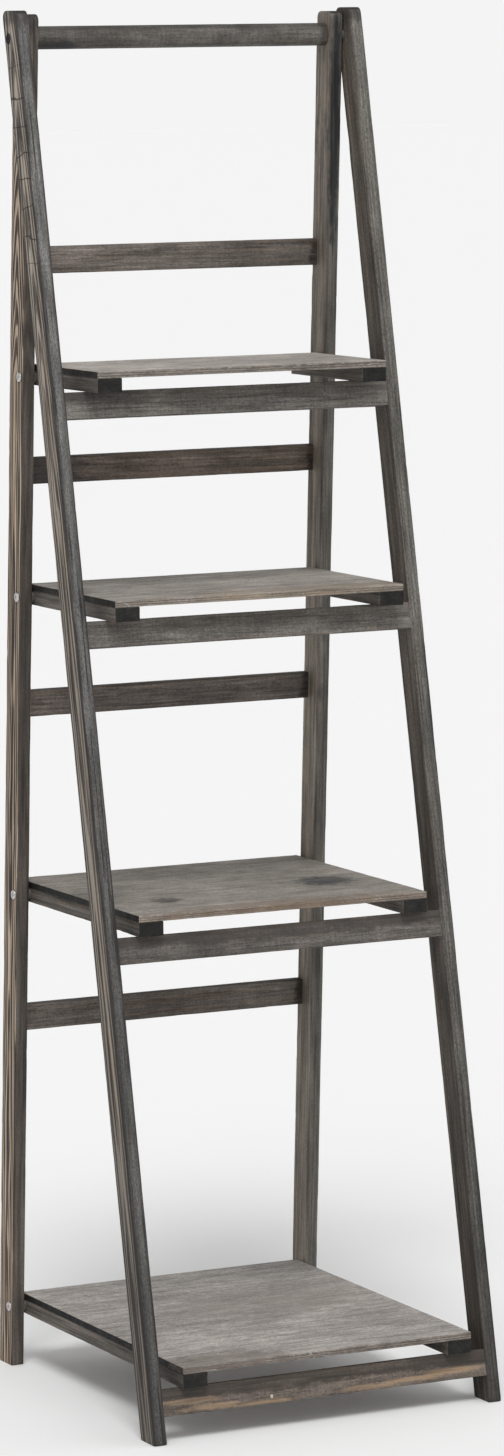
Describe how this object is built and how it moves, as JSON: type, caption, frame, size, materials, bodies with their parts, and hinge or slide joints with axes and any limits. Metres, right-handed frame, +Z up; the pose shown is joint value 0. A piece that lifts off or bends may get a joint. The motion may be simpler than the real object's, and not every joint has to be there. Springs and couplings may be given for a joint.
{
  "type": "folding ladder shelf",
  "caption": "Folding A-frame ladder shelf in weathered grey wood: tip-up shelves that deepen towards the floor between leaning post frames, with a round top bar.",
  "frame": {"origin": "on the floor, centred across the width and midway between the front and rear feet", "axes": "+Z up, +X to the right seen from the front, -Y to the front"},
  "size_m": [0.417, 0.4428, 1.504],
  "materials": {
    "post_wood": "weathered grey-brown stained softwood, matt",
    "rail_wood": "weathered grey-brown stained softwood, matt",
    "board_wood": "weathered grey stained plywood, matt",
    "cleat_wood": "weathered grey-brown stained softwood, matt",
    "bar_wood": "weathered dark grey stained dowel, matt",
    "pin_wood": "plain beech",
    "pivot_steel": "zinc plated, dull",
    "bolt_steel": "blackened steel",
    "washer_steel": "zinc plated, dull",
    "screw_steel": "zinc plated, dull"
  },
  "bodies": {
    "rear_frame": {"frame_pivot_bolts": "bolt_steel", "frame_pivot_washers": "washer_steel", "rear_post_left": "post_wood", "rear_post_right": "post_wood", "rear_rail_1": "rail_wood", "rear_rail_2": "rail_wood", "rear_rail_3": "rail_wood", "rear_rail_4": "rail_wood", "rear_rail_pins": "pin_wood", "shelf_1_pivot_pins": "pivot_steel", "shelf_1_spacers": "washer_steel", "shelf_2_pivot_pins": "pivot_steel", "shelf_2_spacers": "washer_steel", "shelf_3_pivot_pins": "pivot_steel", "shelf_3_spacers": "washer_steel", "shelf_4_pivot_pins": "pivot_steel", "shelf_4_spacers": "washer_steel", "top_bar": "bar_wood"},
    "front_frame": {"front_post_left": "post_wood", "front_post_right": "post_wood", "front_rail_1": "rail_wood", "front_rail_2": "rail_wood", "front_rail_3": "rail_wood", "front_rail_4": "rail_wood", "front_rail_pins": "pin_wood"},
    "shelf_1": {"shelf_1_board": "board_wood", "shelf_1_cleat_left": "cleat_wood", "shelf_1_cleat_right": "cleat_wood", "shelf_1_screws": "screw_steel"},
    "shelf_2": {"shelf_2_board": "board_wood", "shelf_2_cleat_left": "cleat_wood", "shelf_2_cleat_right": "cleat_wood", "shelf_2_screws": "screw_steel"},
    "shelf_3": {"shelf_3_board": "board_wood", "shelf_3_cleat_left": "cleat_wood", "shelf_3_cleat_right": "cleat_wood", "shelf_3_screws": "screw_steel"},
    "shelf_4": {"shelf_4_board": "board_wood", "shelf_4_cleat_left": "cleat_wood", "shelf_4_cleat_right": "cleat_wood", "shelf_4_screws": "screw_steel"}
  },
  "joints": [
    {"name": "front_frame_fold", "type": "hinge", "parent": "rear_frame", "child": "front_frame", "pos_m": [0, 0.10123, 1.474], "axis": [1, 0, 0], "range_deg": [0, 15]},
    {"name": "shelf_1_fold", "type": "hinge", "parent": "rear_frame", "child": "shelf_1", "pos_m": [0, 0.12449, 1.1093], "axis": [-1, 0, 0], "range_deg": [0, 86.3]},
    {"name": "shelf_2_fold", "type": "hinge", "parent": "rear_frame", "child": "shelf_2", "pos_m": [0, 0.13988, 0.86806], "axis": [-1, 0, 0], "range_deg": [0, 86.3]},
    {"name": "shelf_3_fold", "type": "hinge", "parent": "rear_frame", "child": "shelf_3", "pos_m": [0, 0.16102, 0.53668], "axis": [-1, 0, 0], "range_deg": [0, 86.3]},
    {"name": "shelf_4_fold", "type": "hinge", "parent": "rear_frame", "child": "shelf_4", "pos_m": [0, 0.19096, 0.0673], "axis": [-1, 0, 0], "range_deg": [0, 86.3]}
  ]
}
